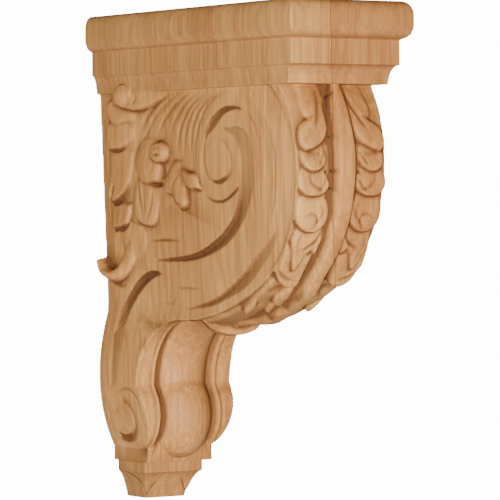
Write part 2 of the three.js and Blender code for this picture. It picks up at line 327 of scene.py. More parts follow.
    def sample(self, a, b, grid=None):
        x = np.clip((a - self.low[0]) / FINE, 0, self.h.shape[0] - 1.001)
        y = np.clip((b - self.low[1]) / FINE, 0, self.h.shape[1] - 1.001)
        i, j = x.astype(np.int32), y.astype(np.int32)
        u, v = x - i, y - j
        h = (self.h if grid is None else grid).astype(np.float32)
        return ((h[i, j] * (1 - u) + h[i + 1, j] * u) * (1 - v)
                + (h[i, j + 1] * (1 - u) + h[i + 1, j + 1] * u) * v)


def ellipse(centre, sizes, tilt=0.0, start=0, end=360, steps=24):
    turn = np.radians(np.linspace(start, end, steps, endpoint=end - start < 360))
    c, s = math.cos(math.radians(tilt)), math.sin(math.radians(tilt))
    p, q = sizes[0] * np.cos(turn), sizes[1] * np.sin(turn)
    return np.stack([centre[0] + c * p - s * q, centre[1] + s * p + c * q], 1)


# The two carved sides. Points are (front, drop) in mm.

def carve_scrolls(side):
    # Upper crescent over the big eye, and the tail line on from it.
    side.wedge([(133.2, 87.4), (137, 83.4), (143, 80.4), (148, 77.2), (152, 73.6), (156, 71),
                (162, 69), (170, 67.9), (180, 68.4)],
               [(132.6, 87.4), (134, 81), (139, 75), (146, 70.4), (152, 67.9), (159, 66.3),
                (166, 66.2), (172, 66.8), (180, 68.2)],
               (1.6, 2.6, 3, 3, 2.6, 1.6), 2.2, 0.9, (0.55, 0.6, 0.7, 0.85, 1, 1))
    side.groove([(133, 86), (131, 92), (130.5, 99), (131.6, 106), (135, 111), (141, 114)],
                1.6, 1.0, 0.4, 0.6)
    side.ridge([(129, 116), (127, 108), (127, 98), (129, 88)], 4.5, 0.6)
    side.groove([(177, 68), (186, 72), (192, 79), (196, 88), (197.5, 98)], 1.8, 0.6, 0.8, 0.3)
    # The long crescent from the eye down to the neck.
    side.wedge([(154, 79), (165, 78.5), (174, 79), (183, 84.5), (188, 92), (190, 107), (189, 118),
                (185, 126), (178, 137), (170, 145), (160, 152), (150, 157), (130, 163),
                (110, 166.2), (85, 167), (66, 166.8)],
               [(155, 80), (163, 82), (168.5, 87), (172.4, 94), (173.2, 104), (172.6, 113),
                (171.4, 122), (168.5, 131), (162.5, 138.6), (154, 145.6), (144, 151.5),
                (126, 159), (108, 163.2), (84, 165.4), (67, 166)],
               (1, 1.1, 1.1, 1.2, 2.0, 3.0, 3.6, 3.2, 2), 2.2, 0.9,
               (0.7, 0.4, 0.25, 0.45, 0.75, 0.8, 0.9, 1, 1))
    # The eye and its band.
    side.wedge([(149, 85.2), (157, 87.4), (163.5, 94.5), (165.6, 102), (164, 108.6),
                (158.6, 112.6), (151, 115.4), (144, 115.6), (138, 113.4)],
               [(149, 85.8), (156, 88.2), (160.4, 94), (162, 101), (161, 107.6), (156.4, 111.2),
                (150.6, 113.4), (144, 114.3), (138.4, 112.9)],
               (0.6, 0.7, 0.8, 0.9, 1.3, 1.8, 1.3, 0.8), 2.0, 0.9,
               (0.3, 0.4, 0.1, 0.1, 0.5, 1.2, 1.2, 0.7))
    side.groove([(153, 79.4), (161, 79.7), (169, 79.2), (177, 80.8), (183, 84.4), (187.4, 90)],
                1.3, 0.6, 0.5, 0.6)
    side.level(ellipse((145, 100), (13, 13)), 0.4, 5)
    side.wedge([(172.6, 117.6), (168, 121.4), (161, 125), (155, 127.3), (149, 128.4),
                (140, 127.4), (131, 123.4)],
               [(172, 117.2), (167.3, 120.8), (160.4, 124.2), (154.4, 126.4), (148.8, 127.4), (140, 126.6),
                (131.6, 123)],
               (0.8, 1.2, 1.4, 1.2, 0.6), 2.0, 0.7, (0.8, 1.3, 1.3, 1, 0.4))
    # The crest round the belly, rolling off towards the front, and the crescent it runs into.
    side.wedge([(180, 54), (190, 60), (200, 69.5), (207.5, 80), (212, 90), (214.5, 101),
                (214.5, 112), (213, 125), (210, 137), (205, 147.5), (198, 156), (190, 162)],
               [(196, 44), (206, 50), (218, 60), (227, 72), (232, 84), (235, 98), (235.5, 112), (234, 126),
                (230, 140), (223, 153), (213, 165), (201, 174)],
               (1.6, 3.4, 4.2, 4.2, 4.0, 3.4, 2.4, 1.2, 0.2), 0.3, 0.5)
    side.groove([(188, 66), (197, 74), (203, 86), (206, 100), (206, 112), (204.5, 125),
                 (201, 138)], 17, 1.1, 0.6)
    side.wedge([(213, 149), (206, 159.5), (198, 167), (190, 173), (180, 180.2), (170, 185), (160, 188.2),
                (150, 191.2), (135, 195.4), (104, 198.7)],
               [(211, 146), (201, 154), (190, 161.8), (180, 169.3), (170, 176), (160, 181.6), (150, 186.4),
                (138, 191.2), (122, 195), (102, 198)],
               (0.8, 1.8, 2.6, 3.2, 3.2, 2.6, 2), 1.6, 0.9, (0.1, 0.35, 0.55, 0.6, 0.6, 0.6, 0.5))
    side.groove([(199, 69), (206, 79), (211, 90), (213.3, 101), (213.3, 112), (212, 125), (208.5, 137)],
                3.0, 0.8, 0.4, 0.3)
    # The lower scroll, running down the back of the neck.
    side.wedge([(73, 175.8), (65, 177.4), (54, 182), (44, 188.4), (36, 195.4), (30.5, 201.5), (28.6, 208)],
               [(72, 175), (60, 174.2), (50, 176.8), (40, 182), (30, 190), (21.5, 198),
                (17, 205), (14.5, 214)],
               (1.5, 2.4, 3, 3, 2.8, 2, 1.2), 2.2, 0.9, (1.2, 1.2, 1.1, 0.9, 0.75, 0.55, 0.4))
    side.wedge([(28.6, 208), (28, 222), (26.5, 236), (24, 250)],
               [(14.5, 214), (15, 226), (15.2, 238), (15.5, 252)], 1.0, 0.4, 1.0, (0.4, 0.4, 0.25, 0.1))
    side.groove([(14, 216.5), (21, 212.4), (29, 207.4)], 1.5, 0.9, 0.5, 0.6)
    side.ridge([(13.6, 216), (13.6, 240), (12.6, 264)], 2.2, 0.6)
    # Where the scroll turns under the belly.
    side.groove([(46, 211), (50, 221), (52, 230)], 1.8, 0.5, 0.5, 0.35)
    side.groove([(52, 231), (60, 226), (68, 218), (79, 209)], 2.4, 0.7, 0.5, 0.45)
    # A patch of painted shadow under the belly, with no hollow.
    side.pit((75, 210.5), (12, 3.6), 0, 0.6)
    # The small volute.
    side.wedge(ellipse((23.5, 274.4), (20.5, 16.8), 0, -75, 125),
               ellipse((22.5, 274), (15.4, 12.6), 0, -75, 125),
               (0.6, 1.2, 1.8, 2.4, 2.4, 1.4), 2.0, 0.9, (0.4, 0.2, 0.05, 0.3, 1.1, 1))
    side.groove([(28, 261.6), (33, 263.4), (37.4, 268)], 1.3, 0.7, 0.5, 0.7)
    side.groove([(20, 259), (29, 254.4), (38, 253.8), (45, 257), (49.5, 263), (51, 272)],
                1.6, 0.9, 0.5, 0.6)
    side.groove([(50, 257), (60, 256.8), (69, 256.2)], 1.5, 0.7, 0.5, 0.5)
    side.groove([(7, 297), (22, 297.6), (35, 296), (48, 293), (56, 289.6), (62, 285.6)],
                2.0, 1.2, 0.4, 1.0)
    side.groove([(9.6, 262), (8.2, 272), (8.6, 284), (12, 292)], 1.4, 0.8, 0.5, 0.4)
    # Tool cuts.
    side.groove([(97, 153), (77, 152.6), (57, 153.6)], 1.8, 1.2, 0.5, 0.8)
    side.groove([(120, 184.8), (105, 184.2), (90, 184.6)], 1.4, 0.8, 0.5, 0.6)
    side.groove([(88, 185), (87, 194), (70, 195)], 1.2, 0.5, 0.5, 0.4)


def carve_fan(side):
    """Grooves that spring from under the cap and flow into the leaf."""
    side.level([(126, 52), (100, 52), (60, 54), (48, 74), (44, 95), (50, 112), (66, 114), (80, 112),
                (100, 104), (118, 104), (120, 88), (130, 74), (146, 58)], -0.8, 10)
    lines = [
        [(166, 55), (147, 59), (132, 67), (123, 80), (119.5, 94), (121, 106)],
        [(157, 55), (138, 60), (123, 69), (115, 82), (113, 98)],
        [(148, 55), (129, 61), (114, 71), (107, 84), (105.5, 98)],
        [(138, 55), (119, 62), (105, 73), (98.5, 85), (97.5, 95)],
        [(128, 55), (109, 62), (95, 73), (89, 83)],
        [(116, 55), (97, 62), (82, 72), (72, 83)],
        [(105, 54), (86, 61), (70, 70), (59, 81), (50, 88)],
        [(94, 55), (76, 61), (61, 69), (51, 79)],
    ]
    for i, line in enumerate(lines):
        side.groove(line, 3.2, 0.8 + 0.35 * (i % 2), 0.7, 0.2 + 0.15 * (i % 2))
        raised = [(a - 2.2, b - 1.2) for a, b in line]
        side.ridge(raised, 2.8, 0.4, 0.8)


def carve_leaf(side):
    # Lower, quieter lobes first, then those that lie over them.
    side.lobe([(50, 143), (30, 141), (26, 156), (34, 168), (50, 163), (56, 150)],
              (40, 172), (38, 144), 0.2, 1.8, 0.8, 4)
    side.lobe([(40, 128), (33, 128), (12, 127), (11, 138), (13, 145), (26, 144.5), (34, 141)],
              (14, 126), (30, 144), 0.2, 3.8, 1.4, 2.6)
    side.lobe([(44, 92), (34, 90), (12, 91), (11, 110), (12, 126), (20, 127.5), (29, 125.5),
               (35, 119), (39, 110)],
              (26, 88), (24, 127), 0.2, 4.6, 1.6, 3.4)
    side.wedge([(17, 126), (19, 119), (20, 113.5)], [(13, 125.5), (15.5, 119), (19.5, 113.8)], 3.6, 1.2)
    side.lobe([(46, 77), (34, 73), (14, 73), (11, 82), (12, 90.5), (24, 91.5), (31, 89), (42, 84)],
              (44, 74), (20, 91), 0.2, 3.8, 1.4, 2.6)
    side.lobe([(50, 64), (34, 60), (16, 58), (11, 64), (14, 70), (22, 74), (34, 72.4), (46, 71.6)],
              (40, 60), (20, 73), 0.6, 3.4, 1.4, 2.6)
    side.lobe([(66, 108), (52, 101), (44, 108), (40, 120), (41, 133), (48, 140), (60, 143),
               (69, 141.5), (73, 130), (71, 117)], (56, 104), (58, 143), 0.6, 5.0, 3.0, 8, 0, 0.8)
    side.groove([(48, 112), (51, 124), (57, 138)], 2.6, 1.4, 0.5, 0.6)
    side.groove([(66, 119), (66, 130), (61, 140)], 2.6, 1.1, 0.5, 0.4)
    side.groove([(56, 116), (58, 126), (60, 136)], 2.0, 0.7, 0.5, 0.3)
    side.lobe([(74, 86), (62, 82), (50, 87), (45, 97), (48, 107), (56, 113.6), (67, 115),
               (75, 113.4), (78, 104)], (66, 80), (65, 115), 0.8, 6.4, 3.8, 9, 0, 0.7)
    side.groove([(76, 101), (70, 106), (67, 111)], 1.6, 0.5, 0.5, 0.2)
    side.pit((70.5, 115.6), (7.0, 1.5), 3.0, 1.3)
    side.pit((79, 108), (1.6, 4.0), 2.4, 0.8)
    side.lobe([(127, 119), (122, 110), (112, 107.5), (104, 105), (104, 112), (110, 117),
               (119, 119.5)],
              (104, 108), (126, 118), 2.2, 3.6, 1.4, 2.5)
    side.pit((122.5, 119.2), (3.4, 1.0), 2.0, 1.2)
    side.lobe([(100, 100), (92, 100), (86, 106), (81, 114), (84, 121), (92, 123), (100, 130),
               (108, 131.6), (112, 128), (110, 120), (107, 111)],
              (93, 97), (101, 132), 1.0, 7.2, 3.6, 8, 0, 0.9)
    side.groove([(86, 121), (91, 123.5), (96, 124), (103, 128.5), (109, 130)], 1.8, 1.4, 0.5, 0.9)
    side.groove([(104, 108), (98, 114), (96, 118)], 1.6, 0.7)
    side.ridge([(108, 127), (101, 126), (95, 122)], 1.8, 0.7)
    side.pit((92.5, 122.4), (2.2, 1.2), 2.2)
    side.lobe(ellipse((78, 94), (9.5, 6.8), 6), (90, 88), (76, 101), 2.6, 6.4, 3.0, 5, 0, 0.9)
    side.groove(ellipse((77.5, 94), (4.6, 3.2), 0, 60, 330), 1.5, 1.1, 0.5, 0.5)
    side.pit((78, 95.6), (3.0, 0.8), 1.6, 1.1)
    side.groove([(104, 100), (94, 99.3), (85, 101)], 1.6, 0.9, 0.5, 0.6)
    side.groove([(119, 108), (111, 107), (103, 104.6)], 1.8, 1.1, 0.5, 0.8)


def carve_back_edge(side):
    side.lobe([(90, 54), (70, 52), (46, 52), (36, 50), (26, 53), (22, 60), (32, 62.6),
               (48, 65.4), (62, 64), (72, 61)], (90, 54), (44, 64), 0.2, 4.4, 1.2, 3, 0.5)
    # The small round end that laps over the lower edge of the cap.
    side.lobe([(28, 60), (27, 54), (31, 49), (38, 47), (45, 49.5), (49, 55), (44, 61), (35, 63.5)],
              (50, 62), (34, 50), 4.4, 8.2, 3.2, 6, 0, 0.8)
    side.groove([(50, 52), (52, 58), (46, 62.5)], 1.8, 0.9, 0.5, 0.5)
    side.groove([(9.7, 64), (9.7, 120), (9.7, 190)], 1.0, 0.5, 0.2)
    side.trail([(40, 152), (34, 162), (28, 170), (21, 175.6), (13, 177), (6, 174), (2, 167)],
               (7, 7, 6, 5, 4.2, 3.2, 2.0), (1.0, 2.2, 4.0, 6.4, 8.6, 9.8, 10.0))
    side.groove([(27, 183), (18, 184.4), (8, 183)], 2.0, 1.0, 0.5, 0.7)
    side.groove([(22.5, 155), (25, 160), (26, 167)], 1.8, 1.0)
    # Slanted cuts under the tips of the lobes beside the wall.
    side.wedge([(42, 108), (35, 117.5), (26, 123.5), (12, 127)],
               [(38.5, 113), (32, 121.8), (24, 127.7), (12, 129)], 3.2, 1.2, 1.0, (0.5, 1, 1, 0.6))
    side.wedge([(36, 139.5), (28, 142.5), (12, 144.7)],
               [(34, 143), (27, 146), (12, 146.6)], 2.6, 1.2, 1.0, (0.6, 1, 0.6))
    side.wedge([(31, 89.6), (22, 90.4), (14, 90.6)],
               [(29, 91.6), (22, 93), (14, 92.3)], 1.8, 1.0, 1.0, 0.7)


def side_relief():
    side = Relief((-8, 36), (262, 312))
    carve_scrolls(side)
    carve_fan(side)
    carve_leaf(side)
    carve_back_edge(side)
    side.smooth(FINISH)
    return side


# The carved front. Points are (run, x) in mm, where run is the way down along the outline.

def mirrored(points, side):
    """Points (run, distance from the middle line) on one side of the middle line."""
    return [(run, side * across) for run, across in points]


def carve_front_lobes(front, side):
    """The lobes from the lowest up, so that each tip lies over the root of the next."""
    # Each lobe: outline, root and tip, then its height at the root, at the tip and on its rim.
    lobes = [
        ([(158, 27), (163, 26.5), (169, 24), (175, 21), (181, 21.5), (184, 24), (180, 26.5),
          (168, 27)], [(158, 25), (182, 23)], (1.0, 3.6, 0.7)),
        ([(168, 11.5), (174, 12), (182, 9.5), (184, 6), (178, 5), (170, 5.5)],
         [(168, 8), (184, 8)], (1.0, 3.6, 0.7)),
        ([(144, 9), (151, 13), (156.5, 16.5), (163, 15.5), (167, 12), (168, 8), (164, 5.5),
          (154, 5.5)], [(146, 8), (166, 12)], (1.6, 4.6, 0.7)),
        ([(108, 32), (118, 33), (126, 32.5), (132, 30.5), (136.5, 27), (139.5, 22), (140, 17.5),
          (138, 12), (133, 9), (126, 7.8), (112, 7.8)], [(110, 18), (139, 20)], (2.0, 7.6, 0.7)),
        ([(90, 26), (95, 28.5), (106, 29.5), (115, 26.5), (122, 24.5), (126, 22.3),
          (120.5, 19.6), (116, 18), (112.5, 15), (111, 13.5), (113.5, 12), (115.5, 9.2),
          (111, 7.5), (100, 7.5), (90, 9)], [(92, 18), (124, 22)], (1.4, 7.8, 0.7)),
        ([(68, 18), (73, 12), (79, 9), (85, 8), (91, 9), (96, 13.5), (98, 20), (96, 27),
          (91, 31.5), (83, 33), (75, 31), (70, 25)], [(74, 22), (97, 20)], (1.2, 6.2, 0.7)),
        ([(56, 13), (63, 11), (69, 10.5), (73.5, 15), (75, 22), (73.5, 29), (68, 33.5),
          (61, 33), (55, 28)], [(56, 22), (74, 21)], (1.0, 5.0, 1.2)),
        ([(40, 14), (48, 12.5), (54, 13.5), (58, 17.5), (59.5, 23), (57.5, 28.5), (52, 31.5),
          (45, 31), (40, 26)], [(42, 22), (58, 23)], (1.2, 4.6, 1.2)),
        ([(-2, 8), (14, 9), (30, 9.5), (38, 11.5), (42.5, 17), (45.5, 23), (46.5, 29),
          (42, 32.5), (35, 32), (29, 28.5), (26, 24), (20, 26.5), (8, 25.5), (-2, 24)],
         [(0, 16), (45, 26)], (0.6, 4.8, 0.7)),
    ]
    for loop, ends, (low, high, rim) in lobes:
        root, tip = mirrored(ends, side)
        # Each lobe gets painted shade round its edge.
        front.lobe(mirrored(loop, side), root, tip, low, high, 2.0, 3.2, rim, 1.1)


def carve_front_cuts(front, side):
    """Cuts and hollows on the lobes, points as (run, distance from the middle line)."""
    cuts = [([(2, 9), (12, 11.5), (23, 15), (33, 19.5)], 2.6, 1.8),
            ([(-2, 25), (10, 27), (20, 28), (30, 31)], 2.4, 0.9),
            ([(24, 17), (25, 22), (27, 26), (32, 29)], 1.8, 1.0),
            ([(52, 10), (56, 10), (60, 11)], 1.8, 1.6),
            ([(61, 25), (66, 24), (70, 18), (70, 12)], 2.4, 1.1),
            ([(88, 26), (86, 22), (87, 18), (91, 16.4), (95, 19), (95.5, 23)], 1.5, 1.2),
            ([(79, 15), (84, 13), (90, 13)], 2.2, 0.6),
            ([(98, 10), (103, 11), (107, 14.5), (110.5, 22)], 2.2, 1.7),
            ([(99, 24), (106, 25.5), (114, 23.5), (121, 21.5)], 1.8, 0.9),
            ([(125, 33), (129, 30), (133, 24), (134.5, 16)], 2.4, 1.5),
            ([(106, 7.8), (120, 8.4), (134, 9.6), (144, 12)], 4.6, 2.6),
            ([(150, 30), (165, 28.8), (185, 28.6), (203, 28.4)], 3.6, 1.6),
            ([(170, 21), (180, 20), (190, 17.5), (200, 15)], 2.6, 1.6),
            ([(141, 4.9), (150, 4.6), (160, 4.8)], 2.0, 2.4),
            ([(43, 10), (50, 15), (57, 19)], 1.8, 1.1),
            ([(33, 9.5), (38, 12), (41, 15)], 1.6, 1.3),
            ([(60, 10), (67, 14), (72, 19)], 1.8, 1.1),
            ([(80, 10), (88, 14), (94, 20)], 1.6, 0.8)]
    for line, width, depth in cuts:
        # Each cut gets painted shade that grows with its depth.
        front.groove(mirrored(line, side), width, 1.2 * depth, 0.5, 0.35 * depth)
    front.wedge(mirrored([(54, 29), (57.5, 23), (56, 17)], side),
                mirrored([(46, 27), (47, 22), (47, 17)], side), 1.3, 0.5, 1.0)
    # Deep notches where two lobes meet, with painted shade in them.
    notches = ((115, 12.5, 1.5, 4.0), (60, 12.5, 1.2, 3.0), (26, 24.5, 1.2, 1.6),
               (162, 6, 1.6, 3.0), (76, 10, 1.4, 2.4), (41, 11.5, 1.5, 2.4))
    for run, across, size, depth in notches:
        front.pit((run, side * across), (size, size), depth, 1.2)
    front.pit((149.5, side * 17.5), (5.0, 5.5), 2.2, 0.6)
    # The oval eye in the widest lobe.
    front.pit((90.5, side * 22), (2.8, 3.4), -1.0)
    front.ridge(mirrored([(101, 9.5), (106, 11.5), (110, 16), (112.5, 23)], side), 1.6, 0.8)


def step_up(value):
    """A soft step from 0 to 1."""
    share = np.clip(value, 0, 1)
    return share * share * (3 - 2 * share)


def carve_rib(front, start):
    """The plain rib down the middle, which thickens under the cap and ends at start."""
    a, b = front.a, front.b
    widen = np.interp(a, (0, 45, 90, 125, 200), (0.55, 1.0, 0.95, 0.72, 0.8))
    rise = 3.0 + 5.6 * step_up((start - 8 - a) / 32)
    rise = rise * np.clip(1.05 - 0.1 * a / 40, 0.97, 1.05)
    across = np.abs(b) / widen
    shape = step_up((9.0 - across) / 3.6) + 0.06 * np.clip(1 - (across / 5.5) ** 2, 0, 1)
    raised = np.maximum(front.h * (across > 7), rise * shape)
    front.h = np.where((across < 9.0) & (a < start + 4), raised, front.h)


def carve_crack(front):
    """The open crack down the left side of the rib, with its voids."""
    # The tones paint shade deep in the crack and its voids.
    front.groove([(-4, -1.6), (4, -3.3), (11, -5), (20, -6.7), (30, -7.8), (40, -8.6)],
                 1.9, 3.4, 0.2, 1.45)
    front.groove([(38, -8.6), (50, -8.9), (60, -8.7), (71, -8.6)], 1.7, 2.6, 0.2, 1.3)
    for run, across, depth in ((11, -4.8, 3.5), (38, -8.6, 3.0), (59.5, -8.4, 3.0), (70.5, -8.6, 2.4)):
        front.pit((run, across), (1.5, 1.4), depth, 1.8)


def front_relief():
    front = Relief((-14, -44), (RUN[-1] + 4, 44))
    for side in (-1, 1):
        carve_front_lobes(front, side)
        carve_front_cuts(front, side)
    start, tip = run_at(122, 204), run_at(107, 206)
    carve_rib(front, start)
    # Under the belly the whole leaf stands further out than its bed.
    within = step_up((30 - np.abs(front.b)) / 3.4) * (front.a < start + 3)
    front.h += 3.5 * step_up((front.a - 128) / 20) * within
    carve_crack(front)
    carve_curl(front, start, tip)
    carve_neck(front, tip)
    front.smooth(FINISH)
    return front


def carve_curl(front, start, tip):
    """The leaf end that curls over where the belly meets the neck, with painted shade below it."""
    a, b = front.a, front.b
    across = np.clip(1 - ((b + 1.5) / 21) ** 2, 0, 1) ** 0.5
    along = np.clip((a - start) / 1.8, 0, 1) * np.sqrt(np.clip((tip - a) / 4, 0, 1))
    front.h = np.maximum(front.h, CURL_OUT * across * along)
    front.groove([(start + 3, -20), (start - 1, -10), (start - 2, 0), (start - 1, 10), (start + 3, 20)],
                 3.0, 2.0, 0.3, 0.9)
    # Painted shade below it, reaching further down beside the pillow than on it, and lighter painted shade
    # on the belly just above it.
    reach = np.where(np.abs(b) > 21, 54, 30)
    below = np.clip(1 - (a - tip + 4) / reach, 0, 1) * (a > tip - 6)
    before = step_up((a - 172) / 22) * (a < start)
    front.dark = np.maximum(front.dark, np.maximum(0.9 * below, 0.3 * before))


def carve_neck(front, tip):
    """Bead, groove and the long pillow down the neck, over the small scroll."""
    a, b = front.a, front.b
    across = np.abs(b)
    after = np.clip((a - tip - 2) / 10, 0, 1)
    swell = run_at(57, 271)
    end = run_at(31, 297)
    grow = np.clip((a - tip - 10) / (swell - tip - 10), 0, 1)
    rise = 3.5 + 6.0 * grow ** 1.2
    bottom = np.clip((end + 4 - 0.03 * across ** 2 - a) / 24, 0, 1)
    rise = (rise + GROOVE_DEEP) * np.sin(np.pi / 2 * bottom) ** 0.8
    pillow = rise * np.clip(1 - (across / PILLOW_HALF) ** 2, 0, 1) ** 0.8 - GROOVE_DEEP
    outward = (across - PILLOW_HALF) / 4.2
    in_groove = (across >= PILLOW_EDGE) & (across < BAND_HALF)
    groove = np.where(in_groove, -GROOVE_DEEP + 1.8 * outward ** 2, 0)
    bead = 0.9 * np.exp(-((across - 24.2) / 0.9) ** 2) - 0.8 * np.exp(-((across - 26.0) / 0.7) ** 2)
    band = np.where(across < PILLOW_EDGE, pillow, groove) + bead
    front.h = np.where(a > tip, band * after, front.h)
    # Painted shade on the right flank of the pillow, the side turned away from the light.
    flank = 0.3 * step_up((b - 7) / 8) * (b < 19) * step_up((a - tip - 8) / 20)
    front.dark = np.maximum(front.dark, flank)


# The solid, from fields that are positive inside it.

def cap_field(x, front, drop):
    """Inside the moulded cap where positive. x and front are arrays that broadcast."""
    share = np.clip(drop / NOSE_DROP * 2 - 1, -1, 1)
    bull = (1 - np.abs(share) ** 2.6) ** (1 / 2.2)
    turn = np.arccos(np.clip(1 - (drop - COVE_START) / COVE_HEIGHT, 0, 1))
    cove = np.where(drop > COVE_START, np.sin(turn), 0)
    nose = np.where(drop < NOSE_DROP, bull, 0)
    half = CAP_HALF + NOSE_SIDE * nose - COVE_SIDE * cove
    out = CAP_FRONT + NOSE_FRONT * nose - COVE_FRONT * cove
    return np.minimum(np.minimum(half - x, out - front), np.minimum(drop, CAP_DROP - drop))


def foot_leaf():
    """The pointed leaf at each front corner of the foot: one cut on the side, one on the front."""
    side = Relief((-2, 300), (48, 332))
    # The tones of these cuts are painted shade.
    side.groove([(4, 312.5), (14, 314), (21, 318), (24.5, 323.5), (25.2, 331)], 1.8, 0.9, 0.5, 1.1)
    front = Relief((-30, 300), (30, 332))
    for s in (-1, 1):
        front.groove([(s * 8.5, 316), (s * 12.5, 321), (s * 15, 326), (s * 15.6, 331)],
                     1.8, 0.8, 0.5, 1.1)
    return side, front


def foot_field(x, front, drop, side_cut, front_cut):
    turn = np.arccos(np.clip(1 - (drop - HOLLOW_START) / HOLLOW_HEIGHT, 0, 1))
    hollow = np.clip((1 - np.cos(turn) + np.sin(turn)) / 2, 0, 1)
    half = np.where(drop < BLOCK_DROP, BLOCK_HALF, STEP_HALF - HOLLOW_SIDE * hollow)
    out = np.where(drop < BLOCK_DROP, BLOCK_FRONT, STEP_FRONT - HOLLOW_FRONT * hollow)
    half = half + side_cut
    out = out + front_cut
    return np.minimum(np.minimum(half - x, out - front), np.minimum(drop - FOOT_TOP, HEIGHT - drop))


def build_field(side, ribbon):
    # The grid is set off a little, so that no flat face falls on a row of its points.
    xs = np.arange(-50.0, 50.01, CELL) + 0.11
    fronts = np.arange(-2.0, 262.0, CELL) + 0.07
    drops = np.arange(-2.0, 333.0, CELL) + 0.05
    front, drop = np.meshgrid(fronts, drops, indexing="ij")
    width = (half_width(drop) + side.sample(front, drop)).astype(np.float32)
    away, along = outline_field(front, drop)
    field = np.empty((len(xs), len(fronts), len(drops)), np.float32)
    body_top = (drop - (CAP_DROP - BODY_OVERLAP)).astype(np.float32)
    body_end = (BODY_END - drop).astype(np.float32)
    foot_side, foot_front = foot_leaf()
    at_foot = drop > CORNER_DROP
    side_cut = foot_side.sample(front, drop) * at_foot
    for i, x in enumerate(xs):
        front_cut = foot_front.sample(np.full_like(drop, x), drop) * at_foot
        reach = ribbon.sample(along, np.full_like(along, x)) - away
        body = np.minimum(np.minimum(width - abs(x), reach), np.minimum(body_top, body_end))
        foot = foot_field(abs(x), front, drop, side_cut, front_cut)
        solid = np.maximum(body, np.maximum(cap_field(abs(x), front, drop), foot))
        field[i] = np.minimum(solid, front)
    return field, xs, fronts, drops


def surface_net(field):
    """One vertex in each cell that the surface crosses, joined across each crossed edge."""
    inside = field > 0
    corners = [(i, j, k) for i in (0, 1) for j in (0, 1) for k in (0, 1)]
    shape = [n - 1 for n in field.shape]

    def shifted(grid, step):
        return grid[step[0]:step[0] + shape[0], step[1]:step[1] + shape[1], step[2]:step[2] + shape[2]]

    count = sum(shifted(inside, c).astype(np.int8) for c in corners)
    cells = np.argwhere((count > 0) & (count < 8))
    index = np.full(shape, -1, np.int32)
    index[tuple(cells.T)] = np.arange(len(cells))
    values = {c: field[cells[:, 0] + c[0], cells[:, 1] + c[1], cells[:, 2] + c[2]] for c in corners}
    total = np.zeros((len(cells), 3))
    hits = np.zeros(len(cells))
    for c in corners:
        for axis in range(3):
            if c[axis]:
                continue
            d = tuple(c[k] + (k == axis) for k in range(3))
            p, q = values[c], values[d]
            crossed = (p > 0) != (q > 0)
            t = np.where(crossed, p / np.where(crossed, p - q, 1), 0)
            spot = np.tile(np.array(c, float), (len(cells), 1))
            spot[:, axis] = t
            total += spot * crossed[:, None]
            hits += crossed
    vertices = cells + total / hits[:, None]
    faces = []
    for axis in range(3):
        u, v = [k for k in range(3) if k != axis]
        step = [0, 0, 0]
        step[axis] = 1
        near = inside[:-1] if axis == 0 else inside[:, :-1] if axis == 1 else inside[:, :, :-1]
        far = inside[1:] if axis == 0 else inside[:, 1:] if axis == 1 else inside[:, :, 1:]
        edges = np.argwhere(near != far)
        edges = edges[(edges[:, u] > 0) & (edges[:, v] > 0)
                      & (edges[:, u] < shape[u]) & (edges[:, v] < shape[v])]
        filled = near[tuple(edges.T)]
        quad = []
        for du, dv in ((1, 1), (0, 1), (0, 0), (1, 0)):
            cell = edges.copy()
            cell[:, u] -= du
            cell[:, v] -= dv
            quad.append(index[tuple(cell.T)])
        quad = np.stack(quad, 1)
        turn = filled if axis != 1 else ~filled
        quad[~turn] = quad[~turn][:, ::-1]
        faces.append(quad)
    return vertices, np.concatenate(faces)


def carved_mesh(side, ribbon):
    field, xs, fronts, drops = build_field(side, ribbon)
    vertices, faces = surface_net(field)
    x = xs[0] + vertices[:, 0] * CELL
    front = np.maximum(fronts[0] + vertices[:, 1] * CELL, 0)
    drop = drops[0] + vertices[:, 2] * CELL
    places = np.stack([x, -front, HEIGHT / 2 - drop], 1) / PER_METRE
    mesh = bpy.data.meshes.new("carved_corbel_fine")
    mesh.vertices.add(len(places))
    mesh.vertices.foreach_set("co", places.astype(np.float32).ravel())
    mesh.loops.add(faces.size)
    mesh.loops.foreach_set("vertex_index", faces.astype(np.int32).ravel())
    mesh.polygons.add(len(faces))
    mesh.polygons.foreach_set("loop_start", np.arange(0, faces.size, 4, dtype=np.int32))
    mesh.polygons.foreach_set("loop_total", np.full(len(faces), 4, np.int32))
    mesh.update(calc_edges=True)
    mesh.validate()
    return mesh


def applied(piece):
    """The piece with its modifiers made part of its mesh."""
    graph = bpy.context.evaluated_depsgraph_get()
    mesh = bpy.data.meshes.new_from_object(piece.evaluated_get(graph))
    piece.modifiers.clear()
    piece.data = mesh


